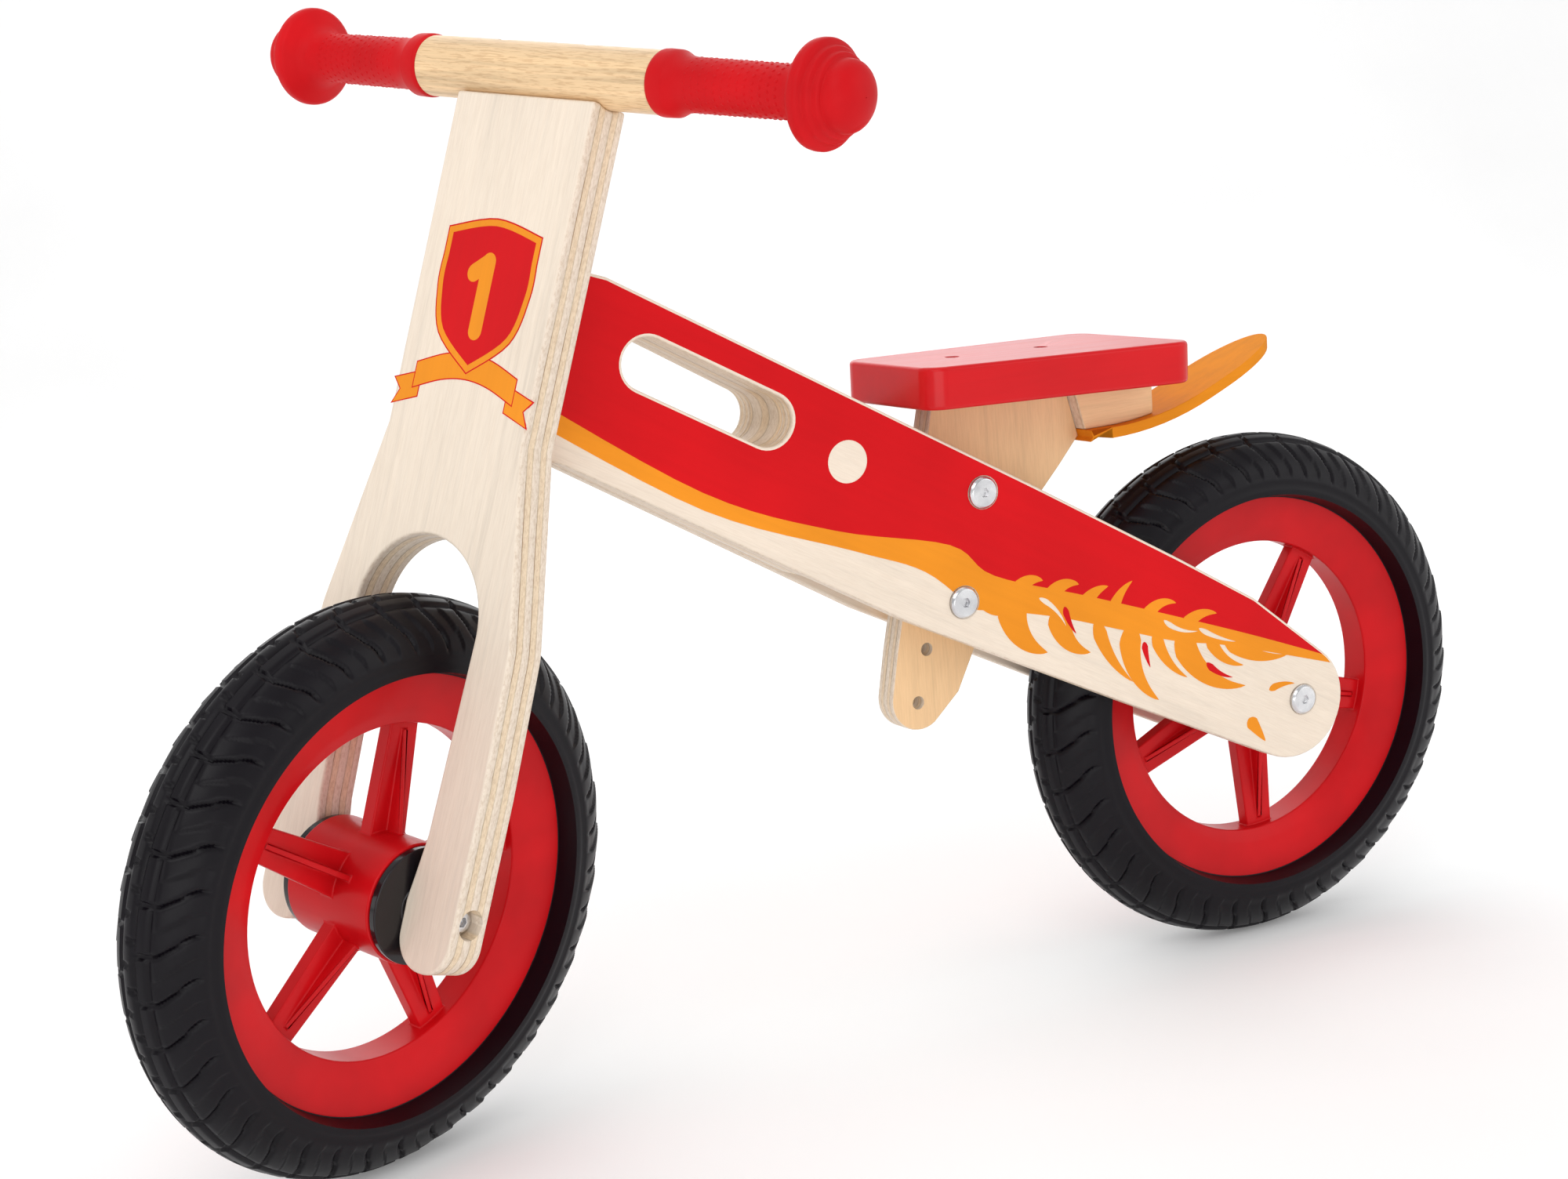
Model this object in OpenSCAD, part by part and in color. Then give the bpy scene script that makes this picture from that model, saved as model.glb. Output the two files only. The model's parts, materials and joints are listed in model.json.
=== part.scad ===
// Wooden balance bike: two splayed plywood side panels, a plywood fork board that steers on a
// steel bolt, a height-adjustable seat post, and two wheels with foam tyres.
// X runs forward, Y to the rider's left, Z up. The origin is on the ground under the middle of
// the bike. The fork rests turned to the left by steer_rest.

/* [Wheels] */
// Outside radius of the tyres
wheel_r = 145; // [130:1:155]
// Half width of the tyres
tyre_half_w = 27; // [22:0.5:30]
// Radius of the rim's edge, where the tyre begins
rim_r = 110; // [106:1:114]
// Half width of the rim at its edge
rim_half_w = 16; // [15:0.5:18]
// Radius of the inside of the rim ring
rim_inner_r = 84; // [80:1:88]
// Radius of the hub barrel
hub_r = 30; // [27:1:32]
// Half length of the hub barrel
hub_half_l = 29; // [27:0.5:29]
// Width of a spoke at the hub
spoke_w = 23; // [20:1:25]
// Width of a spoke at the rim ring
spoke_tip_w = 17; // [14:1:18]

/* [Frame] */
// Distance between the two axles, along the ground, as the bike rests
wheelbase = 541.5; // [520:0.5:570]
// Thickness of a side panel
panel_t = 12; // [10:1:14]
// Half width across the outside of the side panels at the rear axle
rear_half_w = 52.5; // [51:0.5:56]
// Angle by which each side panel leans in towards the front
splay = 4.7; // [4:0.1:5]
// Radius of the ends of the carrying slot
slot_r = 13.3; // [12:0.1:14]
// Thickness of the seat post
post_t = 15; // [14:0.5:16]
// Distance between the holes of the seat post
hole_pitch = 29; // [28:0.5:30]

/* [Seat] */
// Height of the middle of the seat's top above the ground
seat_h = 355; // [352:1:358]
// Thickness of the seat board
seat_t = 22; // [20:1:24]
// Angle by which the seat falls towards the back
seat_tilt = 1.6; // [0:0.1:2]
// Thickness of the tail plate
tail_t = 6; // [5:0.5:7]

/* [Fork] */
// Angle by which the steering axis leans back
rake = 19.5; // [18:0.5:21]
// Angle by which the fork is turned to the left at rest
steer_rest = 21; // [0:1:30]
// Distance from the steering axis forward to the middle of the fork board
fork_offset = 40; // [39:0.5:42]
// Thickness of the fork board
fork_t = 22; // [20:1:24]
// Height of the handlebar's middle above the front axle, along the fork
bar_h = 396; // [385:1:405]
// Radius of the handlebar dowel
bar_r = 14.5; // [14:0.5:16]
// Half length of the handlebar over its grips
bar_half_l = 192; // [190:1:198]

/* [Fasteners] */
// Radius of the wheel axles and the steering bolt
axle_r = 4; // [3.5:0.5:4.5]
// Gap between a shaft and the bush that it turns in
running_gap = 0.05; // [0.02:0.01:0.1]
// Radius of the furniture bolt heads
head_r = 8.5; // [8:0.5:9]

/* [Hidden] */
$fn = 64;

wood = "burlywood";
red = "crimson";
steel = "silver";
black = "#222222";

// Tyre section: a half ellipse that stands on the rim's edge.
tyre_base_r = rim_r + 2;
tyre_rise = wheel_r - tyre_base_r;
tyre_foot_r = 104;
tyre_foot_half_w = 13;

// Height of the front axle: the turned wheel leans, and its tyre still touches the ground.
lean = sin(steer_rest) * sin(rake);
upright = sqrt(1 - lean * lean);
front_axle_z = upright * tyre_base_r
    + sqrt(pow(upright * tyre_rise, 2) + pow(lean * tyre_half_w, 2));

// Foot of the steering axis, level with the front axle, in the frame of the rear axle's middle.
foot_x = wheelbase - fork_offset * cos(rake) * cos(steer_rest);
foot_z = front_axle_z - fork_offset * sin(rake) * cos(steer_rest);

// Middle of the whole bike over the ground, so that the origin lies under it.
side_lean = sin(steer_rest) * cos(rake);
side_flat = sqrt(1 - side_lean * side_lean);
front_reach = wheelbase + side_flat * tyre_base_r
    + sqrt(pow(side_flat * tyre_rise, 2) + pow(side_lean * tyre_half_w, 2));
mid_x = (front_reach - wheel_r) / 2;
mid_y = fork_offset * sin(steer_rest);

// Height above the foot, along the steering axis, of the two flat ends of the frame's head.
head_top = 311;
head_bottom = 218.6;
head_front = 17;
head_back = -13;
bush_flange = 1.5;
bracket_t = 3;
bracket_half_w = 14;
bracket_back = fork_offset - fork_t / 2;
flange_r = 11;
steering_bush_r = 5.5;

// Turn of each rim, as the bike rests.
front_phase = 4.4;
rear_phase = -32;

// Carrying slot: the middles of its two round ends.
slot_front = [373.6, 376.7];
slot_back = [311.9, 341.2];
slot_angle = atan2(slot_front[1] - slot_back[1], slot_front[0] - slot_back[0]);

// Seat post holes: the third of five, and the way down the row. The bolts are in the first
// and the third.
post_lean = 14.8;
hole_step = hole_pitch * [sin(post_lean), -cos(post_lean)];
hole_first = [193.8, 288.7];
function post_hole(i) = hole_first + i * hole_step;
bolted_holes = [0, 2];
post_hole_r = 3.6;

spot_depth = 1;
head_h = 3;
bolt_r = 3;
nut_barrel_r = 4;
socket_r = 2.6;
fit_gap = 0.05;
leg_inner = 33.5;
leg_outer = 68;
// The front axle's heads sit this deep in the fork's legs.
axle_sink = 9.4;
axle_seat = leg_outer - axle_sink;
seat_mid_x = 145;
wedge_half_w = 15;
tail_half_w = 21;
big = 400;

// Half width across the outside, or the inside, of the side panels at a place along the bike.
function outer_y(x) = rear_half_w - x * tan(splay);
function inner_y(x) = outer_y(x) - panel_t / cos(splay);
// Points of an arc about a middle, from one angle to another.
function arc(mid, r, from, to, n = 12) =
    [for (i = [0 : n]) mid + r * [cos(from + (to - from) * i / n), sin(from + (to - from) * i / n)]];
// A point given along and above the steering axis, in the plane of the frame.
function head_point(ahead, up) =
    [foot_x + ahead * cos(rake) - up * sin(rake), foot_z + ahead * sin(rake) + up * cos(rake)];

// Places what is drawn from the rear axle's middle on the ground.
module placed() translate([-mid_x, -mid_y, 0]) children();
// Frame of the fork: Z up the steering axis, X forward out of the fork board.
module steered() placed() on_axis() rotate([0, 0, steer_rest]) children();
// Frame of the steering axis as it stands in the frame, not turned.
module on_axis() translate([foot_x, 0, foot_z]) rotate([0, -rake, 0]) children();
module front_wheel_place() steered() translate([fork_offset, 0, 0]) children();
module rear_wheel_place() placed() translate([0, 0, wheel_r]) children();
// Turns a shape that stands along Z so that it lies along Y, towards the given side.
module across(side = 1) rotate([-90 * side, 0, 0]) children();
// Extrudes an outline drawn in X and Z by a width across the bike.
module plank(w) rotate([90, 0, 0]) linear_extrude(w, center = true) children();
module rounded(r) offset(r = r) offset(delta = -r) children();

/* ---- wheels ---- */

module tyre() color(black) across() rotate_extrude($fn = 96) polygon(concat(
    [for (i = [0 : 16]) let (t = -90 + i * 180 / 16)
        [tyre_base_r + tyre_rise * cos(t), tyre_half_w * sin(t)]],
    [[rim_r, rim_half_w], [rim_r, tyre_foot_half_w], [tyre_foot_r, tyre_foot_half_w],
     [tyre_foot_r, -tyre_foot_half_w], [rim_r, -tyre_foot_half_w], [rim_r, -rim_half_w]]));

// The first of the five spokes is turned by phase from straight up. A thin rib stands along
// each spoke, and is deeper at the hub than at the ring.
rib_t = 3;
rib_root = 14;
rib_tip = 4.5;
module rim(phase) color(red) difference() {
    union() {
        across() rotate_extrude($fn = 96) polygon([
            [rim_inner_r, -9], [rim_inner_r + 8, -12], [rim_r, -rim_half_w],
            [rim_r, -tyre_foot_half_w], [tyre_foot_r, -tyre_foot_half_w],
            [tyre_foot_r, tyre_foot_half_w], [rim_r, tyre_foot_half_w],
            [rim_r, rim_half_w], [rim_inner_r + 8, 12], [rim_inner_r, 9]]);
        across() cylinder(r = hub_r, h = 2 * hub_half_l, center = true);
        for (i = [0 : 4]) rotate([0, phase + 72 * i, 0]) {
            plank(8) polygon([[-spoke_w / 2, hub_r - 4], [-spoke_tip_w / 2, rim_inner_r + 1],
                [spoke_tip_w / 2, rim_inner_r + 1], [spoke_w / 2, hub_r - 4]]);
            rotate([0, -90, 0]) linear_extrude(rib_t, center = true) polygon([
                [hub_r - 4, -rib_root], [rim_inner_r - 4, -rib_tip],
                [rim_inner_r - 4, rib_tip], [hub_r - 4, rib_root]]);
        }
    }
    across() cylinder(r = axle_r + 4, h = big, center = true);
    for (side = [-1, 1]) across(side) translate([0, 0, hub_half_l - bush_flange])
        cylinder(r = flange_r, h = big);
}

module bush(shaft_r, body_r, body_l) rotate_extrude() polygon([
    [shaft_r + running_gap, -body_l], [body_r, -body_l], [body_r, 0], [flange_r, 0],
    [flange_r, bush_flange], [shaft_r + running_gap, bush_flange]]);

module wheel_bushes() color("ivory") for (side = [-1, 1]) across(side)
    translate([0, 0, hub_half_l - bush_flange]) bush(axle_r, axle_r + 4, 14);

// Disc against the hub with a sleeve that reaches the wood, which stands at reach.
module wheel_spacers(reach, sleeve_r) color(black) for (side = [-1, 1]) across(side)
    difference() {
        union() {
            translate([0, 0, hub_half_l + 0.3]) cylinder(r = hub_r - 1, h = 4);
            translate([0, 0, hub_half_l + 1]) cylinder(r = sleeve_r, h = reach - hub_half_l - 1);
        }
        cylinder(r = axle_r + fit_gap, h = big);
    }

/* ---- fasteners ---- */

// Low round head with a hexagon socket, its underside at z = 0.
module socket_head(r, h) difference() {
    rotate_extrude() polygon([[0, 0], [r, 0], [r, h * 0.55], [r - h * 0.45, h], [0, h]]);
    translate([0, 0, h * 0.3]) cylinder(r = socket_r, h = h, $fn = 6);
}

// Bolt along +Y from the middle, its head's underside at y = seat_y, reaching back by length.
module cross_bolt(r, hr, hh, seat_y, length) color(steel) across(1) translate([0, 0, seat_y]) {
    socket_head(hr, hh);
    translate([0, 0, -length]) cylinder(r = r, h = length + 0.2 * hh);
}

// Nut with a matching head on the -Y side and a barrel that takes the bolt's end.
module cap_nut(r, barrel_r, hr, hh, seat_y, length) color(steel) across(-1)
    translate([0, 0, seat_y]) {
        socket_head(hr, hh);
        translate([0, 0, -length]) difference() {
            cylinder(r = barrel_r, h = length + 0.2 * hh);
            translate([0, 0, -1]) cylinder(r = r + fit_gap, h = length);
        }
    }

// Countersunk wood screw, its head's top at z = 0 and its shank downwards, and its hole, which
// runs on above the head by sink.
module wood_screw(r, head, length) color(steel) difference() {
    rotate_extrude() polygon([[0, 0], [head, 0], [head, -0.5], [r, -head + r - 0.5],
        [r, -length + 4], [0, -length]]);
    translate([0, 0, -1.4]) cylinder(r = 1.5, h = 5, $fn = 6);
}
module wood_screw_hole(r, head, length, sink = 0.1) rotate_extrude() polygon([[0, sink],
    [head + 0.1, sink], [head + 0.1, -0.5], [r + fit_gap, -head + r - 0.5],
    [r + fit_gap, -length + 4], [0, -length - 0.1]]);

/* ---- frame ---- */

module panel_outline() rounded(2) polygon(concat(
    [head_point(head_front, head_bottom), head_point(head_front, head_top),
     head_point(head_back, head_top), [163, 287.9], [78.5, 237.5], [29.4, 207]],
    arc([6.5, 145.2], 32.5, 130, 296, 20),
    [[112, 161.2], [240, 226.4], head_point(head_back, head_bottom)]));

module slot_cut() plank(big) polygon(concat(
    arc(slot_front, slot_r, slot_angle - 90, slot_angle + 90, 18),
    arc(slot_back, slot_r, slot_angle + 90, slot_angle + 270, 18)));

// Slab of one side panel's thickness, leaning in towards the front.
module panel_slab(side) translate([0, side * rear_half_w, 0]) rotate([0, 0, -side * splay])
    translate([-60, side > 0 ? -panel_t : 0, 60]) cube([540, panel_t, 400]);

module side_panel(side) color(red) placed() difference() {
    intersection() {
        plank(big) panel_outline();
        panel_slab(side);
    }
    slot_cut();
    steering_bore();
    translate([0, 0, wheel_r]) across(side) {
        cylinder(r = axle_r + fit_gap, h = big);
        translate([0, 0, outer_y(0) - spot_depth]) cylinder(r = head_r + 0.3, h = big);
        cylinder(r = 9.3, h = inner_y(0) + spot_depth);
    }
    for (i = bolted_holes) translate([post_hole(i)[0], 0, post_hole(i)[1]]) across(side) {
        cylinder(r = nut_barrel_r + fit_gap, h = big);
        translate([0, 0, outer_y(post_hole(i)[0]) - spot_depth])
            cylinder(r = head_r + 0.3, h = big);
    }
}

// Space between the inner faces of the two side panels.
module between_panels() linear_extrude(big + 100) polygon([
    [-60, inner_y(-60)], [480, inner_y(480)], [480, -inner_y(480)], [-60, -inner_y(-60)]]);

module head_block() color(wood) placed() difference() {
    intersection() {
        plank(big) intersection() {
            offset(delta = -1) panel_outline();
            polygon([[288, 200], [480, 200], [480, 460], [288, 460]]);
        }
        between_panels();
    }
    slot_cut();
    steering_bore();
}

// Bore down the head for the steering bushes, and room for their flanges past its two ends.
module steering_bore() on_axis() {
    translate([0, 0, head_bottom - 5]) cylinder(r = steering_bush_r, h = 110);
    translate([0, 0, head_top]) cylinder(r = flange_r + 0.2, h = 20);
    translate([0, 0, head_bottom - 20]) cylinder(r = flange_r + 0.2, h = 20);
}

module spacer_outline() rounded(4) intersection() {
    offset(delta = -4) panel_outline();
    translate(post_hole(1)) rotate(post_lean) square([44, 150], center = true);
}

module spacer_block(side) color(wood) placed() difference() {
    intersection() {
        plank(big) spacer_outline();
        between_panels();
        translate([-60, side > 0 ? post_t / 2 : -big, 0]) cube([540, big - post_t / 2, big]);
    }
    for (i = bolted_holes) translate([post_hole(i)[0], 0, post_hole(i)[1]]) across(side)
        cylinder(r = nut_barrel_r + fit_gap, h = big);
}

// Plane of the seat's underside, as a height at a place along the bike.
function seat_under(x) = seat_h - seat_t / cos(seat_tilt) + (x - seat_mid_x) * tan(seat_tilt);

// Side view of the seat post, up to above the seat's underside.
module post_outline() polygon(concat([[200.7, 345], [234.5, 205]],
    arc([222.5, 178.5], 17, 14, -122, 14),
    [[197.4, 178], [184.5, 202], [136.4, 278.6], [124.5, 290.5], [111, 305], [117.5, 330],
     [121.4, 345]]));

module seat_post() color(wood) placed() difference() {
    plank(post_t) intersection() {
        post_outline();
        polygon([[90, 100], [260, 100], [260, seat_under(260)], [90, seat_under(90)]]);
    }
    for (i = [0 : 4]) translate([post_hole(i)[0], 0, post_hole(i)[1]]) across()
        cylinder(r = post_hole_r, h = big, center = true);
    seat_screw_holes();
}

seat_screw_x = [184, 127.5];
seat_screw_sink = 9;
module on_seat(x) translate([x, 0, seat_h + (x - seat_mid_x) * tan(seat_tilt)])
    rotate([0, -seat_tilt, 0]) children();

module seat() color(red) placed() difference() {
    on_seat(seat_mid_x) translate([0, 0, -seat_t]) linear_extrude(seat_t) rounded(12)
        polygon([[81, -43], [81, 43], [-81, 53], [-81, -53]]);
    seat_screw_holes();
}

module seat_screw_holes() for (x = seat_screw_x) on_seat(x) translate([0, 0, -seat_screw_sink])
    wood_screw_hole(2.2, 3.8, 50, seat_screw_sink + 1);
module seat_screws() placed() for (x = seat_screw_x) on_seat(x)
    translate([0, 0, -seat_screw_sink]) wood_screw(2.2, 3.8, 50);

// The tail plate: flat under the wedge, then bent up. The side view gives its underside.
tail_flat_z = 302.8;
tail_rise = 22;
bend_x = 98;
bend_r = 180;
tail_round_x = 20;
tail_round_l = 43;
function tail_under(extra) = let (mid = [bend_x, tail_flat_z + bend_r], r = bend_r - extra,
    end = mid + r * [-sin(tail_rise), -cos(tail_rise)], run = 70)
    concat([[119, mid[1] - r]], arc(mid, r, 270, 270 - tail_rise, 8),
        [end + run * [-cos(tail_rise), sin(tail_rise)]]);
// Height by which the plate has risen, and its slope, at a place along the bend.
function tail_ahead(x) = max(0, bend_x - x);
function tail_lift(x) = bend_r - sqrt(pow(bend_r, 2) - pow(tail_ahead(x), 2));

module tail_plate() color("orange") placed() difference() {
    intersection() {
        plank(big) difference() {
            polygon(concat(tail_under(0), [for (i = [10 : -1 : 0]) tail_under(tail_t)[i]]));
            post_outline();
        }
        linear_extrude(big) union() {
            translate([tail_round_x, -tail_half_w]) square([100, 2 * tail_half_w]);
            polygon([for (a = [90 : 7.5 : 270])
                [tail_round_x + tail_round_l * cos(a), tail_half_w * sin(a)]]);
        }
    }
    tail_screw_holes();
}

tail_screw_x = [101, 84];
module tail_screw_at(x) translate([x, 0, tail_flat_z + tail_lift(x)])
    rotate([180, -asin(tail_ahead(x) / bend_r), 0]) children();
module tail_screw_holes() for (x = tail_screw_x) tail_screw_at(x) wood_screw_hole(1.7, 3.5, 18);
module tail_screws() placed() for (x = tail_screw_x) tail_screw_at(x) wood_screw(1.7, 3.5, 18);

module tail_wedge() color(wood) placed() difference() {
    plank(2 * wedge_half_w) difference() {
        polygon([[66, 290], [119, 290], [119, seat_under(119)], [66, seat_under(66)]]);
        polygon(concat([[140, 200], [140, tail_flat_z + tail_t]],
            [for (i = [0 : 10]) tail_under(tail_t)[i]], [[-20, 200]]));
        post_outline();
    }
    tail_screw_holes();
}

module seat_post_bolts() placed() for (i = bolted_holes)
    translate([post_hole(i)[0], 0, post_hole(i)[1]])
        cross_bolt(bolt_r, head_r, head_h, outer_y(post_hole(i)[0]) - spot_depth, 62);

module seat_post_cap_nuts() placed() for (i = bolted_holes)
    translate([post_hole(i)[0], 0, post_hole(i)[1]])
        cap_nut(bolt_r, nut_barrel_r, head_r, head_h, outer_y(post_hole(i)[0]) - spot_depth, 26);

module rear_axle_bolt() rear_wheel_place()
    cross_bolt(axle_r, head_r, head_h, outer_y(0) - spot_depth,
        2 * (outer_y(0) - spot_depth) + 0.4);

module rear_axle_cap_nut() rear_wheel_place()
    axle_nut(outer_y(0) - spot_depth, head_r, head_h);

// Nut cap on the -Y end of an axle: it covers the last of the shaft.
module axle_nut(seat_y, hr, hh) color(steel) across(-1) translate([0, 0, seat_y])
    difference() {
        socket_head(hr, hh);
        translate([0, 0, -1]) cylinder(r = axle_r + fit_gap, h = 1 + hh * 0.2);
    }

/* ---- steering ---- */

module steering_bushes() color("ivory") placed() on_axis() {
    translate([0, 0, head_top]) bush(axle_r, steering_bush_r, 20);
    translate([0, 0, head_bottom]) mirror([0, 0, 1]) bush(axle_r, steering_bush_r, 20);
}

lug_gap = 0.1;
lug_low = head_bottom - bush_flange - lug_gap;
lug_high = head_top + bush_flange + lug_gap;
module steering_bracket() color(steel) steered() difference() {
    union() {
        translate([bracket_back - bracket_t, -bracket_half_w, lug_low - bracket_t])
            cube([bracket_t, 2 * bracket_half_w, lug_high - lug_low + 2 * bracket_t]);
        for (z = [lug_low - bracket_t, lug_high]) translate([0, 0, z]) {
            translate([0, -bracket_half_w + 2, 0])
                cube([bracket_back - 0.5, 2 * bracket_half_w - 4, bracket_t]);
            cylinder(r = bracket_half_w - 2, h = bracket_t);
        }
    }
    translate([0, 0, lug_low - 10]) cylinder(r = axle_r + fit_gap, h = 130);
    bracket_screw_places() wood_screw_hole(1.9, 3.8, 13);
}
module bracket_screw_places() for (z = [head_bottom + 12, head_top - 12]) for (y = [-8, 8])
    translate([bracket_back - bracket_t, y, z]) rotate([0, -90, 0]) children();
module bracket_screws() steered() bracket_screw_places() wood_screw(1.9, 3.8, 13);

module steering_bolt() color(steel) steered() {
    translate([0, 0, lug_high + bracket_t]) socket_head(7, 4);
    translate([0, 0, lug_low - bracket_t - 10])
        cylinder(r = axle_r, h = lug_high - lug_low + 2 * bracket_t + 11);
}

module steering_lock_nut() color(steel) steered() translate([0, 0, lug_low - bracket_t - 7.5])
    difference() {
        union() {
            translate([0, 0, 2]) cylinder(r = 7.5, h = 5.5, $fn = 6);
            cylinder(r = 6, h = 3);
        }
        translate([0, 0, -1]) cylinder(r = axle_r + fit_gap, h = 20);
    }

/* ---- fork and handlebar ---- */

// Front view of the fork board, X across and Y up from the front axle.
fork_side = [[45.7, 450], [46, 222], [66.5, 128], [68.5, 60], [68, -30]];
module fork_silhouette() offset(delta = -30) offset(r = 60) offset(delta = -30)
    polygon(concat(fork_side, [for (i = [4 : -1 : 0]) [-fork_side[i][0], fork_side[i][1]]]));
// The legs' lower ends, between the same two sides as the rest of the board.
foot_top = fork_side[3];
foot_low = fork_side[4];
foot_end = -28;
function foot_half(up) = foot_low[0]
    + (foot_top[0] - foot_low[0]) * (up - foot_low[1]) / (foot_top[1] - foot_low[1]);
module foot_sides() polygon([[-foot_half(92), 92], [foot_half(92), 92],
    [foot_half(foot_end), foot_end], [-foot_half(foot_end), foot_end]]);
module fork_arch() {
    translate([0, 131]) circle(r = 42);
    polygon([[-42, 131], [-38.8, 36], [-leg_inner, 4], [-leg_inner, -60],
        [leg_inner, -60], [leg_inner, 4], [38.8, 36], [42, 131]]);
}
module fork_outline() {
    intersection() {
        difference() {
            fork_silhouette();
            fork_arch();
        }
        translate([-100, 20]) square([200, 400]);
    }
    intersection() {
        rounded(16.5) difference() {
            foot_sides();
            fork_arch();
        }
        translate([-100, -60]) square([200, 81]);
    }
}

module fork_board() color(wood) steered() difference() {
    translate([fork_offset - fork_t / 2, 0, 0]) rotate([90, 0, 90]) linear_extrude(fork_t)
        intersection() {
            fork_outline();
            translate([-100, -60]) square([200, 60 + bar_h - saddle_drop]);
        }
    translate([fork_offset, 0, bar_h]) across() cylinder(r = bar_r, h = big, center = true);
    translate([fork_offset, 0, 0]) across() {
        cylinder(r = axle_r + fit_gap, h = big, center = true);
        for (side = [-1, 1]) translate([0, 0, side * (axle_seat + big / 2)])
            cylinder(r = 7.5, h = big, center = true);
    }
    for (y = bar_bolt_y) translate([fork_offset, y, 0]) {
        translate([0, 0, bar_h - 70]) cylinder(r = bolt_r + fit_gap, h = 100);
        translate([-fork_t / 2 - 1, 0, barrel_z]) rotate([0, 90, 0])
            cylinder(r = 5 + fit_gap, h = fork_t / 2 + 7);
    }
    bracket_screw_places() wood_screw_hole(1.9, 3.8, 13);
}

// The board's top stands this far below the middle of the dowel, which sits in a shallow saddle.
saddle_drop = 13;
bar_bolt_y = [-28, 28];
barrel_z = bar_h - 52;
grip_start = 76.5;
grip_core_r = 9;
grip_end_l = 186;

module handlebar_dowel() color(wood) steered() translate([fork_offset, 0, bar_h]) difference() {
    across() rotate_extrude() polygon([[0, -grip_end_l], [grip_core_r, -grip_end_l],
        [grip_core_r, -grip_start], [bar_r, -grip_start], [bar_r, grip_start],
        [grip_core_r, grip_start], [grip_core_r, grip_end_l], [0, grip_end_l]]);
    for (y = bar_bolt_y) translate([0, y, 0]) {
        cylinder(r = bolt_r + fit_gap, h = 60, center = true);
        translate([0, 0, bar_r - 6]) cylinder(r = 6.2, h = 20);
    }
}

module handlebar_bolts() color(steel) steered() for (y = bar_bolt_y)
    translate([fork_offset, y, bar_h + bar_r - 6]) {
        socket_head(6, 4);
        translate([0, 0, -69]) cylinder(r = bolt_r, h = 70);
    }

module handlebar_barrel_nuts() color(steel) steered() for (y = bar_bolt_y)
    translate([fork_offset, y, barrel_z]) difference() {
        translate([-fork_t / 2 + 1, 0, 0]) rotate([0, 90, 0]) cylinder(r = 5, h = fork_t / 2 + 4);
        cylinder(r = bolt_r + fit_gap, h = 30, center = true);
    }

// Rubber grip: collar, ribbed tube, stepped bell flange and domed end.
module grip(side) color(red) steered() translate([fork_offset, 0, bar_h]) across(side)
    rotate_extrude() polygon(concat(
        [[grip_core_r, grip_start + 0.1], [bar_r, grip_start + 0.1],
         [bar_r + 0.8, grip_start + 2], [bar_r + 0.6, grip_start + 9], [12.8, grip_start + 14],
         [12.2, grip_start + 20], [11.8, 154], [13, 160], [17.5, 163.5], [23, 166], [24.1, 168],
         [24.1, 171], [23, 172.5], [20.8, 173.5], [20.8, 176], [18.4, 177], [18.4, 179.5],
         [16, 180.5]],
        [for (a = [0 : 15 : 75]) [16 * cos(a), 182 + (bar_half_l - 182) * sin(a)]],
        [[0, bar_half_l], [0, grip_end_l], [grip_core_r, grip_end_l]]));

module front_axle_bolt() front_wheel_place()
    cross_bolt(axle_r, 6.5, 4, axle_seat, 2 * axle_seat + 0.5);
module front_axle_cap_nut() front_wheel_place() axle_nut(axle_seat, 6.5, 4);

side_panel(1);  // left_side_panel
side_panel(-1);  // right_side_panel
head_block();
spacer_block(1);  // left_spacer_block
spacer_block(-1);  // right_spacer_block
seat_post();
seat();
tail_wedge();
tail_plate();
seat_screws();
tail_screws();
seat_post_bolts();
seat_post_cap_nuts();
rear_axle_bolt();
rear_axle_cap_nut();
rear_wheel_place() wheel_spacers(inner_y(0) + spot_depth, 9);  // rear_wheel_spacers
rear_wheel_place() tyre();  // rear_tyre
rear_wheel_place() rim(rear_phase);  // rear_rim
rear_wheel_place() wheel_bushes();  // rear_wheel_bushes
steering_bushes();
steering_bracket();
steering_bolt();
steering_lock_nut();
bracket_screws();
fork_board();
handlebar_dowel();
handlebar_bolts();
handlebar_barrel_nuts();
grip(1);  // left_grip
grip(-1);  // right_grip
front_axle_bolt();
front_axle_cap_nut();
front_wheel_place() wheel_spacers(leg_inner, 12);  // front_wheel_spacers
front_wheel_place() tyre();  // front_tyre
front_wheel_place() rim(front_phase);  // front_rim
front_wheel_place() wheel_bushes();  // front_wheel_bushes
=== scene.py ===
import json
import math

import bmesh
import bpy
import numpy as np
from mathutils import Matrix, Vector
from mathutils.geometry import delaunay_2d_cdt


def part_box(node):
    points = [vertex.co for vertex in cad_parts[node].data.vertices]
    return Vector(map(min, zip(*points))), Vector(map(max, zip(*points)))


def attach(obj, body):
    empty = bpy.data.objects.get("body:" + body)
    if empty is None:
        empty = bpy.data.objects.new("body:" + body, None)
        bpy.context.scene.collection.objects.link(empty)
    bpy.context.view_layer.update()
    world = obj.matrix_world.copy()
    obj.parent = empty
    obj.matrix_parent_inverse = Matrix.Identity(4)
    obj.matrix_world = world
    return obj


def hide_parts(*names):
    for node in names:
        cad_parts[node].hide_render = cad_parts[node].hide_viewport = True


# Everything is in metres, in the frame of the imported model. Short lengths are written in MM.
MM = 0.001

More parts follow.
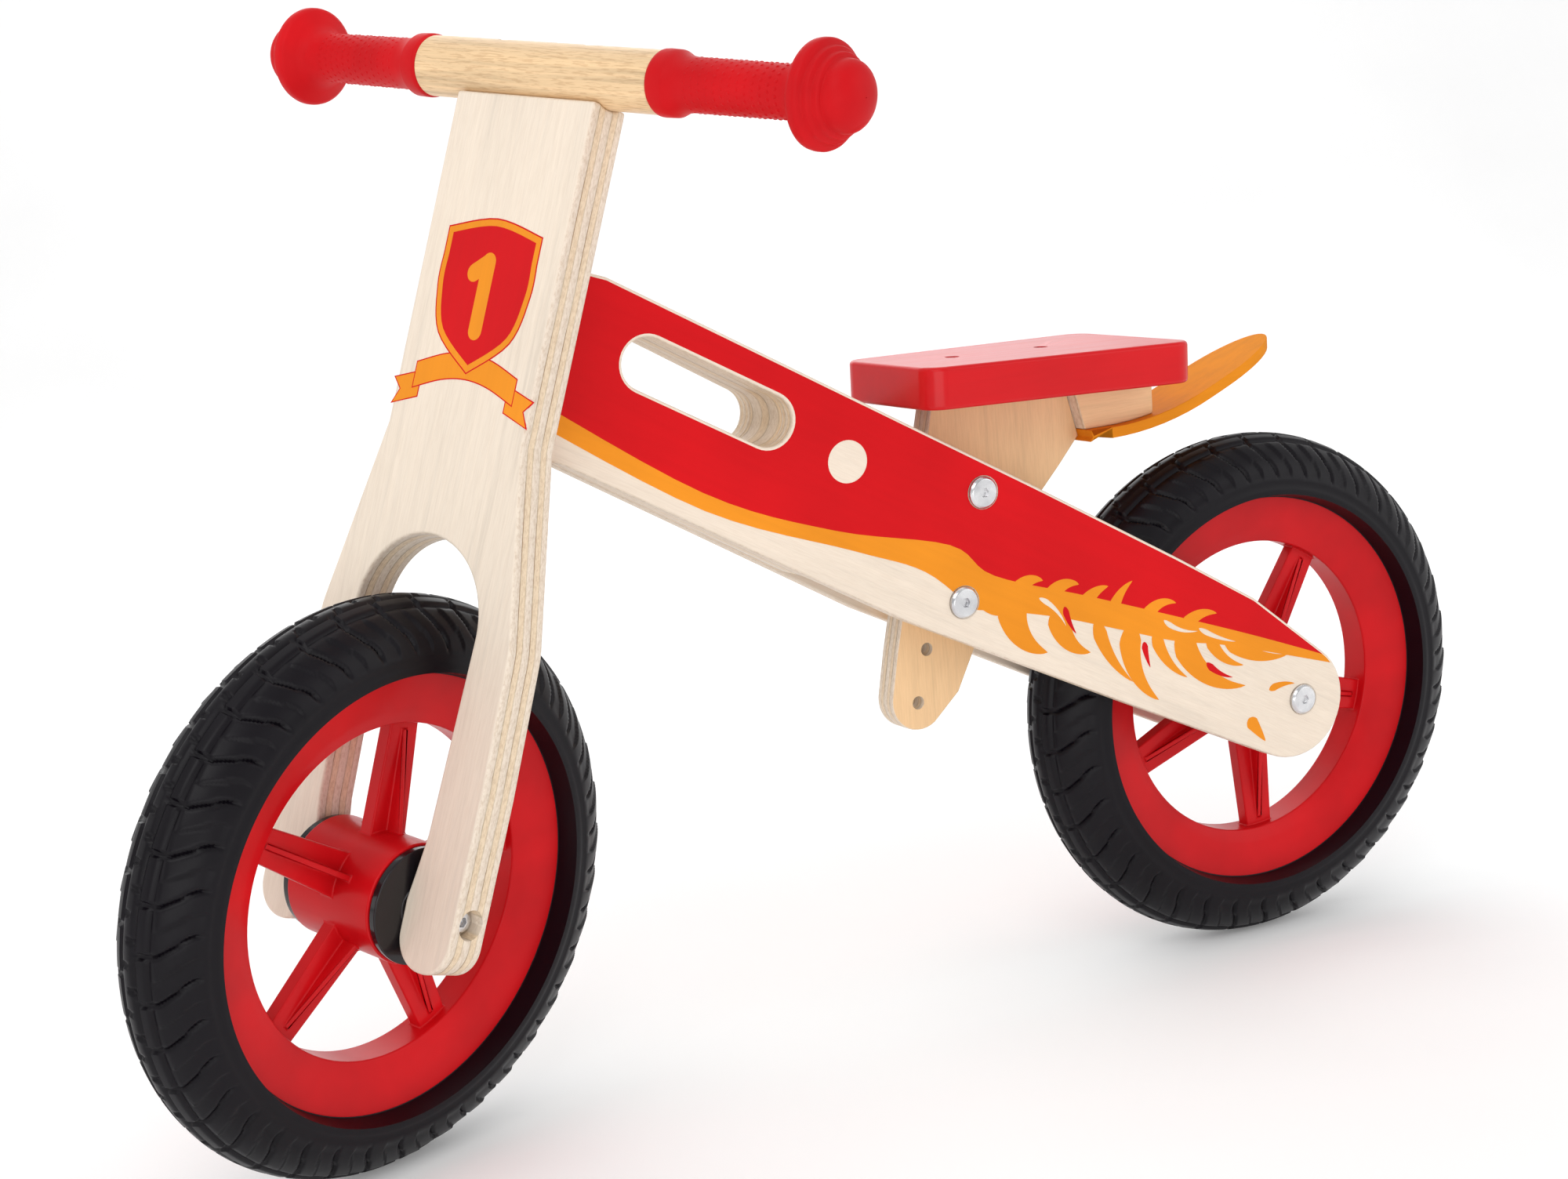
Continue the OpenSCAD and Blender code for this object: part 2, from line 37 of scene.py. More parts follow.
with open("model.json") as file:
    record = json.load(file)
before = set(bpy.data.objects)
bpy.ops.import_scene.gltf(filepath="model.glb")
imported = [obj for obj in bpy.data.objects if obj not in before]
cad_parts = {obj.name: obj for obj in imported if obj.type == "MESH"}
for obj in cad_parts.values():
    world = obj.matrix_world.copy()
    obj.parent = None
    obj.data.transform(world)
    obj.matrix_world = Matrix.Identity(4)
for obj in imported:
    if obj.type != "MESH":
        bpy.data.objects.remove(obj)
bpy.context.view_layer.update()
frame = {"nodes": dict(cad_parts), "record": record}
record = frame["record"]
nodes = frame["nodes"]
joints = {j["name"]: j for j in record["behaviour"]["joints"]}
body_of = {n: b for b, members in record["behaviour"]["bodies"].items() for n in members}
slot_of = {s["node"]: s["material_slot"] for s in record["subparts"]}


# ---- places ----

def axes_frame(origin, x, y, z):
    """Matrix whose local axes are x, y, z at origin."""
    m = Matrix((x, y, z)).transposed().to_4x4()
    m.translation = origin
    return m


def joint_at(name):
    j = joints[name]
    return Vector(j["pos_m"]), Vector(j["axis"]).normalized()


steer_foot, steer_up = joint_at("steering")
front_axle, fork_across = joint_at("front_wheel_spin")
rear_axle, rear_across = joint_at("rear_wheel_spin")
fork_ahead = fork_across.cross(steer_up)
FORWARD, LEFT, UP = Vector((1, 0, 0)), Vector((0, 1, 0)), Vector((0, 0, 1))
# Local X out of the fork board, Y across it and Z up it, from the middle of the front wheel.
fork_frame = axes_frame(front_axle, fork_ahead, fork_across, steer_up)
rear_frame = axes_frame(rear_axle, FORWARD, LEFT, UP)
# Local Y along the front axle, and local Z as near to upright as it can be.
front_level = fork_across.cross(UP).normalized()
front_frame = axes_frame(front_axle, front_level, fork_across, front_level.cross(fork_across))


# ---- material nodes ----

class Nodes:
    """Short hand for building one material's node tree."""

    def __init__(self, name, rough=0.5, shine=0.2, coat=0.0, metal=0.0, coat_rough=0.1):
        self.mat = bpy.data.materials.new(name)
        self.mat.use_nodes = True
        self.tree = self.mat.node_tree
        self.shader = self.tree.nodes["Principled BSDF"]
        self.shader.inputs["Roughness"].default_value = rough
        self.shader.inputs["Metallic"].default_value = metal
        self.shader.inputs["Specular IOR Level"].default_value = shine
        self.shader.inputs["Coat Weight"].default_value = coat
        self.shader.inputs["Coat Roughness"].default_value = coat_rough
        self.where = self.tree.nodes.new("ShaderNodeTexCoord")

    def put(self, value, socket):
        if isinstance(value, bpy.types.NodeSocket):
            self.tree.links.new(value, socket)
        else:
            socket.default_value = value

    def noise(self, scale, detail=4.0, rough=0.55, distortion=0.0):
        """Noise whose scale is features per metre along the piece's own X, Y and Z."""
        m = self.tree.nodes.new("ShaderNodeMapping")
        m.inputs["Scale"].default_value = scale
        self.tree.links.new(self.where.outputs["Object"], m.inputs["Vector"])
        n = self.tree.nodes.new("ShaderNodeTexNoise")
        n.inputs["Scale"].default_value = 1.0
        n.inputs["Detail"].default_value = detail
        n.inputs["Roughness"].default_value = rough
        n.inputs["Distortion"].default_value = distortion
        self.tree.links.new(m.outputs["Vector"], n.inputs["Vector"])
        return n.outputs["Fac"]

    def ramp(self, value, stops):
        r = self.tree.nodes.new("ShaderNodeValToRGB")
        self.put(value, r.inputs["Fac"])
        ramp = r.color_ramp
        while len(ramp.elements) < len(stops):
            ramp.elements.new(0.5)
        for e, (at, colour) in zip(ramp.elements, stops):
            e.position = at
            e.color = (*colour, 1) if len(colour) == 3 else colour
        return r.outputs["Color"]

    def math(self, op, a, b=0.0):
        n = self.tree.nodes.new("ShaderNodeMath")
        n.operation = op
        self.put(a, n.inputs[0])
        self.put(b, n.inputs[1])
        return n.outputs[0]

    def mix(self, factor, a, b, blend="MIX"):
        n = self.tree.nodes.new("ShaderNodeMix")
        n.data_type = "RGBA"
        n.blend_type = blend
        self.put(factor, n.inputs["Factor"])
        self.put(a, n.inputs["A"])
        self.put(b, n.inputs["B"])
        return n.outputs["Result"]

    def bump(self, height, strength, distance):
        n = self.tree.nodes.new("ShaderNodeBump")
        n.inputs["Strength"].default_value = strength
        n.inputs["Distance"].default_value = distance
        self.put(height, n.inputs["Height"])
        self.tree.links.new(n.outputs["Normal"], self.shader.inputs["Normal"])

    def split(self, output):
        n = self.tree.nodes.new("ShaderNodeSeparateXYZ")
        self.tree.links.new(self.where.outputs[output], n.inputs[0])
        return n.outputs

    def colour(self, value):
        self.put(value, self.shader.inputs["Base Color"])

    def roughness(self, value, low, high):
        n = self.tree.nodes.new("ShaderNodeMapRange")
        self.put(value, n.inputs["Value"])
        n.inputs["To Min"].default_value = low
        n.inputs["To Max"].default_value = high
        self.tree.links.new(n.outputs["Result"], self.shader.inputs["Roughness"])


def shade(colour, k):
    return tuple(c * k for c in colour)


# Base colours, in linear light.
RED = (0.650, 0.004, 0.008)
MOULDED_RED = (0.610, 0.005, 0.009)
ORANGE = (0.860, 0.290, 0.016)
PALE_WOOD = (0.880, 0.760, 0.630)
CORE_WOOD = (0.840, 0.680, 0.490)
WARM_WOOD = (0.900, 0.600, 0.330)
BEECH = (0.830, 0.585, 0.335)
GLUE = (0.280, 0.140, 0.055)
TYRE = (0.0030, 0.0018, 0.0040)
BLACK = (0.010, 0.008, 0.010)
NYLON = (0.72, 0.70, 0.64)


def plywood(name, face, plies, thickness, start=0.0):
    """Ply with its grain along local X and its layers along local Y, inwards from Y = start."""
    m = Nodes(name, rough=0.45, shine=0.25, coat=0.05, coat_rough=0.3)
    streaks = m.noise((9, 260, 260), 6, 0.6, 0.3)
    clouds = m.noise((5, 22, 22), 3, 0.5)
    pores = m.noise((90, 1500, 1500), 3, 0.6)
    grain = m.mix(0.45, streaks, clouds)
    face_colour = m.ramp(grain, [(0.30, shade(face, 0.80)), (0.46, shade(face, 0.95)),
                                 (0.60, face), (0.75, shade(face, 1.05))])
    face_colour = m.mix(0.10, face_colour, m.ramp(pores, [(0.35, (0.45, 0.3, 0.17)),
                                                          (0.6, (1, 1, 1))]), "MULTIPLY")
    local = m.split("Object")
    layer = m.math("FRACT", m.math("MULTIPLY", m.math("SUBTRACT", start, local["Y"]),
                                   plies / (2 * thickness)))
    gaps = m.noise((26, 40, 26), 4, 0.6)
    layer = m.math("ADD", layer, m.math("MULTIPLY", m.math("SUBTRACT", gaps, 0.5), 0.07))
    bands = m.ramp(layer, [(0.0, shade(PALE_WOOD, 0.97)), (0.46, shade(PALE_WOOD, 0.86)),
                           (0.50, shade(CORE_WOOD, 0.66)), (0.56, shade(CORE_WOOD, 0.94)),
                           (0.88, CORE_WOOD), (0.95, shade(CORE_WOOD, 0.78)),
                           (1.0, shade(PALE_WOOD, 0.93))])
    glue = m.ramp(m.math("ABSOLUTE", m.math("SUBTRACT", layer, 0.5)),
                  [(0.0, (1, 1, 1)), (0.035, (0, 0, 0))])
    patches = m.ramp(gaps, [(0.42, (0, 0, 0)), (0.56, (1, 1, 1))])
    bands = m.mix(m.mix(1.0, glue, patches, "MULTIPLY"), bands, (*GLUE, 1))
    fibres = m.noise((420, 900, 420), 4, 0.65)
    bands = m.mix(0.35, bands, m.ramp(fibres, [(0.35, (0.5, 0.36, 0.22)), (0.58, (1, 1, 1))]),
                  "MULTIPLY")
    flat = m.ramp(m.math("ABSOLUTE", m.split("Normal")["Y"]), [(0.72, (0, 0, 0)),
                                                              (0.90, (1, 1, 1))])
    m.colour(m.mix(flat, bands, face_colour))
    m.roughness(streaks, 0.38, 0.56)
    m.bump(m.mix(0.5, streaks, pores), 0.16, 0.3 * MM)
    return m.mat


def solid_wood(name, base):
    """Beech with its grain along local Y and short dark flecks in it."""
    m = Nodes(name, rough=0.4, shine=0.3, coat=0.1, coat_rough=0.25)
    streaks = m.noise((240, 8, 240), 6, 0.6, 0.4)
    flecks = m.noise((1300, 120, 1300), 2, 0.5)
    c = m.ramp(streaks, [(0.28, shade(base, 0.72)), (0.5, base), (0.72, shade(base, 1.16))])
    m.colour(m.mix(0.30, c, m.ramp(flecks, [(0.38, (0.5, 0.33, 0.2)), (0.5, (1, 1, 1))]),
                   "MULTIPLY"))
    m.roughness(streaks, 0.33, 0.5)
    m.bump(streaks, 0.12, 0.3 * MM)
    return m.mat


def painted(name, base, rough, shine, coat, grain=0.10):
    """Paint over wood: the grain shows a little through it, in colour and in relief."""
    m = Nodes(name, rough=rough, shine=shine, coat=coat, coat_rough=0.18)
    streaks = m.noise((10, 200, 200), 5, 0.6)
    clouds = m.noise((14, 14, 14), 2, 0.5)
    c = m.ramp(clouds, [(0.3, shade(base, 0.92)), (0.7, shade(base, 1.05))])
    m.colour(m.mix(grain, c, m.ramp(streaks, [(0.3, (0.55, 0.5, 0.5)), (0.6, (1, 1, 1))]),
                   "MULTIPLY"))
    m.roughness(streaks, rough - 0.05, rough + 0.07)
    m.bump(streaks, 0.10, 0.25 * MM)
    return m.mat


def moulded(name, base, low, high, pebble, depth, shine=0.15, coat=0.0):
    """Moulded plastic, rubber or foam with a fine skin."""
    m = Nodes(name, rough=low, shine=shine, coat=coat)
    clouds = m.noise((22, 22, 22), 3, 0.5)
    skin = m.noise((pebble, pebble, pebble), 3, 0.6)
    m.colour(m.ramp(clouds, [(0.3, shade(base, 0.84)), (0.55, base), (0.75, shade(base, 1.14))]))
    m.roughness(clouds, low, high)
    m.bump(skin, 0.22, depth)
    return m.mat


def steel(name):
    m = Nodes(name, rough=0.22, shine=0.5, metal=1.0)
    turning = m.noise((900, 60, 900), 3, 0.6)
    smudge = m.noise((120, 120, 120), 3, 0.5)
    m.colour(m.ramp(smudge, [(0.3, (0.55, 0.55, 0.57)), (0.7, (0.80, 0.80, 0.81))]))
    m.roughness(smudge, 0.14, 0.34)
    m.bump(turning, 0.10, 0.05 * MM)
    return m.mat


ply12 = plywood("birch_ply_12", PALE_WOOD, 5, 12 * MM)
ply22 = plywood("birch_ply_22", PALE_WOOD, 5, 22 * MM, 11 * MM)
ply15 = plywood("birch_ply_15", WARM_WOOD, 5, 15 * MM, 7.5 * MM)
block_ply = plywood("birch_ply_block", WARM_WOOD, 3, 26 * MM, 13 * MM)
beech = solid_wood("beech_dowel", BEECH)
red_paint = painted("red_paint", RED, 0.40, 0.12, 0.0)
seat_paint = painted("seat_red_paint", RED, 0.30, 0.15, 0.25)
orange_paint = painted("orange_paint", ORANGE, 0.38, 0.12, 0.0)
tail_paint = painted("tail_orange_paint", shade(ORANGE, 0.93), 0.55, 0.05, 0.0, 0.22)
rim_red = moulded("rim_red_plastic", MOULDED_RED, 0.26, 0.42, 700, 0.05 * MM, 0.15, 0.04)
grip_red = moulded("grip_red_rubber", MOULDED_RED, 0.42, 0.58, 900, 0.08 * MM, 0.12)
tyre_black = moulded("tyre_foam", TYRE, 0.30, 0.46, 650, 0.12 * MM, 0.20)
gloss_black = moulded("gloss_black_plastic", BLACK, 0.10, 0.24, 500,
                      0.02 * MM, 0.3, 0.2)
nylon_white = moulded("nylon", NYLON, 0.35, 0.5, 800, 0.04 * MM)
plated = steel("plated_steel")


# ---- mesh helpers ----

# Vertices closer than this are one, and faces that bend by less than this are one, in radians.
WELD = 2e-6
FLAT_ANGLE = 0.006


def finish_piece(name, mesh, place, body, slot, *replaced):
    """Makes the object whose mesh is written in the local axes of place."""
    obj = bpy.data.objects.new(name, mesh)
    bpy.context.scene.collection.objects.link(obj)
    obj.matrix_world = place
    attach(obj, body)
    if replaced:
        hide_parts(*replaced)
    return obj


def soften(mesh, angle=32):
    mesh.shade_smooth()
    mesh.set_sharp_from_angle(angle=math.radians(angle))


def weight_normals(obj):
    w = obj.modifiers.new("weighted", "WEIGHTED_NORMAL")
    w.keep_sharp = True
    w.weight = 80


def long_arrises(bm, min_span, angle=34):
    """Sharp edges, apart from those of small holes and recesses."""
    sharp = [e for e in bm.edges if e.is_manifold and e.calc_face_angle(0) > math.radians(angle)]
    left, kept = set(sharp), []
    while left:
        chain, todo = [], [left.pop()]
        while todo:
            e = todo.pop()
            chain.append(e)
            for v in e.verts:
                for other in v.link_edges:
                    if other in left:
                        left.remove(other)
                        todo.append(other)
        co = np.array([v.co for e in chain for v in e.verts])
        if np.linalg.norm(co.max(0) - co.min(0)) > min_span:
            kept += chain
    return kept


def dress(node, material, place, bevel=1.0, steps=3, min_span=25, clamp=False, reshape=None):
    """The CAD node's own shape with worn-round arrises, in the local axes of place.
    bevel and min_span are in millimetres, and reshape changes the mesh before the bevel."""
    bm = bmesh.new()
    bm.from_mesh(nodes[node].data)
    bmesh.ops.remove_doubles(bm, verts=bm.verts, dist=WELD)
    bm.transform(place.inverted())
    if reshape:
        reshape(bm)
    bmesh.ops.dissolve_limit(bm, angle_limit=FLAT_ANGLE, verts=bm.verts, edges=bm.edges)
    if bevel:
        bmesh.ops.bevel(bm, geom=long_arrises(bm, min_span * MM), offset=bevel * MM,
                        offset_type="OFFSET", segments=steps, profile=0.5, affect="EDGES",
                        clamp_overlap=clamp)
    bmesh.ops.recalc_face_normals(bm, faces=bm.faces)
    mesh = bpy.data.meshes.new(node + "_dressed")
    bm.to_mesh(mesh)
    bm.free()
    mesh.materials.clear()
    mesh.materials.append(material)
    for p in mesh.polygons:
        p.material_index = 0
    soften(mesh)
    obj = finish_piece(node + "_dressed", mesh, place, body_of[node], slot_of[node], node)
    weight_normals(obj)
    return obj


def build_mesh(name, verts, faces, materials, face_materials=None, angle=32):
    """A smooth mesh that stays sharp where it bends by more than angle, in degrees."""
    mesh = bpy.data.meshes.new(name)
    mesh.from_pydata(verts, [], faces)
    for m in materials:
        mesh.materials.append(m)
    if face_materials is not None:
        mesh.polygons.foreach_set("material_index", face_materials)
    bm = bmesh.new()
    bm.from_mesh(mesh)
    bmesh.ops.recalc_face_normals(bm, faces=bm.faces)
    bm.to_mesh(mesh)
    bm.free()
    soften(mesh, angle)
    return mesh


def turn(profile, count):
    """Vertices and faces of a closed loop (radius, along) turned about local Y."""
    n = len(profile)
    verts = [(r * math.sin(a), y, r * math.cos(a))
             for a in (2 * math.pi * i / count for i in range(count)) for r, y in profile]
    faces = [(i * n + k, i * n + (k + 1) % n, (i + 1) % count * n + (k + 1) % n,
              (i + 1) % count * n + k) for i in range(count) for k in range(n)]
    return verts, faces


# ---- flat paint ----

# A film of paint stands this far out of its face, and reaches this far into it.
FILM_LIFT = 0.12 * MM
FILM_SINK = 0.3 * MM


def inside(polygon, point):
    x, y = point
    hit = False
    for (ax, ay), (bx, by) in zip(polygon, polygon[1:] + polygon[:1]):
        if (ay > y) != (by > y) and x < (bx - ax) * (y - ay) / (by - ay) + ax:
            hit = not hit
    return hit


def area_of(loop):
    return 0.5 * sum(a[0] * b[1] - b[0] * a[1] for a, b in zip(loop, loop[1:] + loop[:1]))


def grow(loop, by):
    """The loop with its sides moved outwards by a distance, or inwards if it is negative."""
    if area_of(loop) < 0:
        loop = loop[::-1]
    out = []
    for i, p in enumerate(loop):
        a, b = Vector(loop[i - 1]), Vector(loop[(i + 1) % len(loop)])
        p = Vector(p)
        d1, d2 = (p - a).normalized(), (b - p).normalized()
        n1, n2 = Vector((d1.y, -d1.x)), Vector((d2.y, -d2.x))
        n = (n1 + n2).normalized()
        out.append(tuple(p + n * by / max(0.5, n.dot(n1))))
    return out


def face_loops(node, normal, to_flat, reach=0.15 * MM):
    """Outlines of the outermost flat face of a CAD node that looks along normal, largest first."""
    mesh = nodes[node].data

    def key(corner):
        return tuple(round(c * 2e5) for c in corner)

    co = [v.co.copy() for v in mesh.vertices]
    facing = [p for p in mesh.polygons if p.normal.dot(normal) > 0.9995]
    far = max(co[v].dot(normal) for p in facing for v in p.vertices)
    edges, place = {}, {}
    for p in facing:
        if min(co[v].dot(normal) for v in p.vertices) < far - reach:
            continue
        ring = [key(co[v]) for v in p.vertices]
        for v, k in zip(p.vertices, ring):
            place[k] = co[v]
        for a, b in zip(ring, ring[1:] + ring[:1]):
            if (b, a) in edges:
                del edges[(b, a)]
            else:
                edges[(a, b)] = True
    after = {a: b for a, b in edges}
    loops = []
    while after:
        a, b = after.popitem()
        ring = [a]
        while b != a:
            ring.append(b)
            b = after.pop(b)
        loops.append([to_flat(place[k]) for k in ring])
    return sorted(loops, key=lambda l: -abs(area_of(l))), far


def paint(name, outline, holes, regions, to_place, normal, place, body, slot):
    """A thin film in each region's material, cut to the outline and round the holes.
    Later regions cover earlier ones, and a region with no material is bare."""
    loops = [outline] + holes + [r for r, _ in regions]
    points, edges = [], []
    for loop in loops:
        start = len(points)
        points += [Vector(p) for p in loop]
        edges += [(start + i, start + (i + 1) % len(loop)) for i in range(len(loop))]
    verts, _, faces = delaunay_2d_cdt(points, edges, [], 0, 1e-7)[:3]
    kept, index, materials = [], [], []
    for f in faces:
        c = sum((verts[v] for v in f), Vector((0, 0))) / len(f)
        if not inside(outline, c) or any(inside(h, c) for h in holes):
            continue
        cover = [m for r, m in regions if inside(r, c)]
        if cover and cover[-1] is not None:
            if cover[-1] not in materials:
                materials.append(cover[-1])
            kept.append(f)
            index.append(materials.index(cover[-1]))
    back = place.inverted()
    rise = normal * FILM_LIFT
    flat = [back @ (to_place(v) + rise) for v in verts]
    sunk = [back @ (to_place(v) - normal * FILM_SINK) for v in verts]
    # Closed film: the top, its copy underneath, and walls along the film's own border.
    n = len(verts)
    border = {}
    for f in kept:
        for a, b in zip(f, f[1:] + f[:1]):
            if (b, a) in border:
                del border[(b, a)]
            else:
                border[(a, b)] = True
    owner = {e: i for f, i in zip(kept, index) for e in zip(f, f[1:] + f[:1])}
    all_faces = [tuple(f) for f in kept] + [tuple(v + n for v in reversed(f)) for f in kept]
    all_faces += [(b, a, a + n, b + n) for a, b in border]
    all_index = index + index + [owner[e] for e in border]
    mesh = build_mesh(name, flat + sunk, all_faces, materials, all_index)
    loose = bmesh.new()
    loose.from_mesh(mesh)
    bmesh.ops.delete(loose, geom=[v for v in loose.verts if not v.link_faces], context="VERTS")
    loose.to_mesh(mesh)
    loose.free()
    return finish_piece(name, mesh, place, body, slot)


def smooth_line(points, steps=6):
    """Catmull-Rom curve through open points."""
    p = [Vector(points[0])] + [Vector(q) for q in points] + [Vector(points[-1])]
    out = []
    for i in range(1, len(p) - 2):
        for k in range(steps):
            t = k / steps
            a, b, c, d = p[i - 1:i + 3]
            out.append(tuple(0.5 * (2 * b + (c - a) * t + (2 * a - 5 * b + 4 * c - d) * t * t
                                    + (3 * b - a - 3 * c + d) * t ** 3)))
    return out + [tuple(p[-1])]


def ring(at, r, count=40):
    return [(at[0] + r * math.cos(2 * math.pi * i / count),
             at[1] + r * math.sin(2 * math.pi * i / count)) for i in range(count)]


def in_mm(points):
    return [(x * MM, z * MM) for x, z in points]


# ---- side panels ----

# Painted lines on the panels, in millimetres ahead of the rear axle and above the ground.
RED_EDGE = [(440, 372), (350, 310), (280, 281), (215, 264), (190, 244), (130, 223), (40, 190),
            (-25, 164)]
BAND_EDGE = [(440, 360), (350, 301), (270, 269), (230, 252), (204, 228)]
FLAME_FOOT = [(204, 228), (180, 223), (150, 215), (112, 202), (80, 191), (46, 183), (-25, 161)]
# A bare disc in the red.
BADGE_AT, BADGE_R = (270, 315), 11
# A hole in the panel that is larger than this is the carrying slot, in square metres.
SLOT_AREA = 1e-3
# The paint stops this far from the panel's edge, from the slot and from the bolt holes.
EDGE_MARGIN, SLOT_MARGIN, HOLE_MARGIN = 1.5 * MM, 1.6 * MM, 0.1 * MM
# The panel's grain climbs this much for each unit forwards.
GRAIN_RISE = 0.55


def lick(x, z, heading, length, bend, width, steps=20):
    """A flame with a round root at x, z, whose centre line starts at heading (degrees up from
    rearwards), turns evenly by bend and ends in a point."""
    at = Vector((x, z))
    upper, lower = [], []
    for i in range(steps + 1):
        t = i / steps
        turned = math.radians(heading + bend * t)
        ahead = Vector((-math.cos(turned), math.sin(turned)))
        side = Vector((-ahead.y, ahead.x))
        half = width / 2 * math.sqrt(min(1, t * 5 + 0.02)) * (1 - t) ** 0.75
        upper.append(tuple(at + side * half))
        lower.append(tuple(at - side * half))
        at = at + ahead * length / steps
    return upper + lower[-2::-1]


# Flames by place of the root, heading, length, bend and width.
HANGING = [(199, 240, -85, 25, 75, 12), (180, 231, -100, 42, 85, 21), (152, 221, -100, 36, 90, 17),
           (130, 211, -80, 44, 40, 10), (108, 205, -105, 50, 70, 16), (94, 199, -80, 36, 50, 9),
           (78, 197, -80, 60, 78, 17), (60, 192, -75, 32, 65, 9), (50, 190, -50, 46, 55, 12)]
RISING = [(178, 231, 65, 20, -95, 12), (158, 225, 65, 22, -95, 12), (138, 218, 60, 20, -60, 11),
          (120, 212, 75, 22, -50, 9), (100, 205, 65, 24, -95, 10), (76, 197, 50, 24, -75, 10)]
BARE = [(164, 228, -30, 24, -40, 3.5), (88, 204, -45, 24, 45, 3.5), (66, 196, -35, 26, 20, 3.5)]
RED_TONGUES = [(149, 221, -80, 17, 25, 4.5), (101, 194, -85, 15, 15, 4.5),
               (62, 176, -50, 20, 35, 4.5)]
DROPS = [(22, 154, 20, 17, -35, 5), (36, 140, -55, 18, 0, 9)]


def flames():
    """Flames that trail from the orange band over bare wood, with small ones up into the red."""
    return [(in_mm(lick(*f)), material)
            for rows, material in ((HANGING + RISING, orange_paint), (BARE, None),
                                   (RED_TONGUES, red_paint), (DROPS, orange_paint))
            for f in rows]


for side, hand in ((1, "left"), (-1, "right")):
    node = hand + "_side_panel"
    mesh = nodes[node].data
    # The outer face is the panel's largest face that looks to its own side.
    share = {}
    for p in mesh.polygons:
        if p.normal.y * side > 0.9:
            k = tuple(round(c, 3) for c in p.normal)
            share[k] = share.get(k, 0) + p.area
    out_normal = Vector(max(share, key=share.get)).normalized()
    to_flat = lambda co: (co.x - rear_axle.x, co.z)
    loops, far = face_loops(node, out_normal, to_flat)

    def on_panel(p, out_normal=out_normal, far=far):
        x, z = p[0] + rear_axle.x, p[1]
        return Vector((x, (far - out_normal.x * x - out_normal.z * z) / out_normal.y, z))

    grain = Vector((1, 0, GRAIN_RISE))
    grain = (grain - out_normal * grain.dot(out_normal)).normalized()
    place = axes_frame(on_panel((0, rear_axle.z)), grain, out_normal, grain.cross(out_normal))
    dress(node, ply12, place, bevel=1.3)
    red_line = smooth_line(RED_EDGE)
    orange_foot = smooth_line(BAND_EDGE) + smooth_line(FLAME_FOOT)[1:]
    above = [(-25, 300), (300, 520), (480, 520), (480, 380)]
    regions = [(in_mm(red_line + orange_foot[::-1]), orange_paint),
               (in_mm(red_line + above), red_paint)]
    regions += flames()
    regions.append((in_mm(ring(BADGE_AT, BADGE_R)), None))
    bare_rims = [grow(h, SLOT_MARGIN if abs(area_of(h)) > SLOT_AREA else HOLE_MARGIN)
                 for h in loops[1:]]
    paint(node + "_paint", grow(loops[0], -EDGE_MARGIN), bare_rims, regions, on_panel, out_normal,
          place, "frame", "red_painted_plywood")


# ---- the other wood ----

upright_grain = axes_frame(rear_axle, UP, LEFT, UP.cross(LEFT))
level = axes_frame(rear_axle, FORWARD, LEFT, UP)
# Local Y up, for boards that lie flat.
lying = axes_frame(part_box("seat")[0], FORWARD, UP, FORWARD.cross(UP))
# Local X up the fork and Y out of its face, from the middle of the board's thickness.
board_frame = axes_frame(front_axle, steer_up, fork_ahead, steer_up.cross(fork_ahead))

# The shoulder's range above the axle and the leg's sides across it, in millimetres.
SHOULDER = (12.9, 20.1)
LEG_OUTER, LEG_INNER, LEG_SLOPE = 68.25, 35.05, 0.1625
# What lies further across than this is a leg's outer side.
LEG_MIDDLE = 50


def straight_legs(bm):
    """Carries both sides of each fork leg straight through the small shoulder above the axle."""
    for v in bm.verts:
        up, across = v.co.x / MM, v.co.z / MM
        if SHOULDER[0] < up < SHOULDER[1]:
            inner = LEG_INNER + LEG_SLOPE * (up - SHOULDER[0])
            v.co.z = math.copysign((LEG_OUTER if abs(across) > LEG_MIDDLE else inner) * MM, across)
    bmesh.ops.remove_doubles(bm, verts=bm.verts, dist=0.1 * MM)


for node in ("head_block", "left_spacer_block", "right_spacer_block"):
    dress(node, block_ply, level, bevel=0.8)
dress("seat_post", ply15, upright_grain, bevel=1.0)
dress("tail_wedge", block_ply, level, bevel=1.2)
dress("tail_plate", tail_paint, lying, bevel=0.5, clamp=True)
dress("seat", seat_paint, lying, bevel=2.2, steps=5)
dress("fork_board", ply22, board_frame, bevel=1.6, steps=4, min_span=30, reshape=straight_legs)
dress("handlebar_dowel", beech, fork_frame, bevel=0.4)


# ---- race plate on the fork ----

board_lift = (max(fork_ahead.dot(v.co) for v in nodes["fork_board"].data.vertices)
              - fork_ahead.dot(front_axle))


def on_board(p):
    return front_axle + fork_across * p[0] + steer_up * p[1] + fork_ahead * board_lift


# A plain heater shield: half width, top and foot, in millimetres above the front axle.
SHIELD_HALF, SHIELD_TOP, SHIELD_FOOT = 31, 324, 251


def shield(by):
    right = smooth_line([(SHIELD_HALF, 306), (SHIELD_HALF, 290), (24, 268), (0, SHIELD_FOOT)])
    top = smooth_line([(-SHIELD_HALF, 318), (0, SHIELD_TOP), (SHIELD_HALF, 318)])
    left = [(-x, z) for x, z in right[::-1]]
    return grow(in_mm(top + right + left[1:]), by * MM)


def ribbon():
    upper = smooth_line([(-34, 252), (-16, 258), (0, 260), (16, 258), (34, 252)])
    lower = smooth_line([(34, 240), (16, 246), (0, 248), (-16, 246), (-34, 240)])
    return in_mm(upper + lower)


def ribbon_end(side):
    return in_mm([(side * x, z) for x, z in ((30, 248), (47, 243), (42, 238), (46, 231),
                                             (30, 236))])


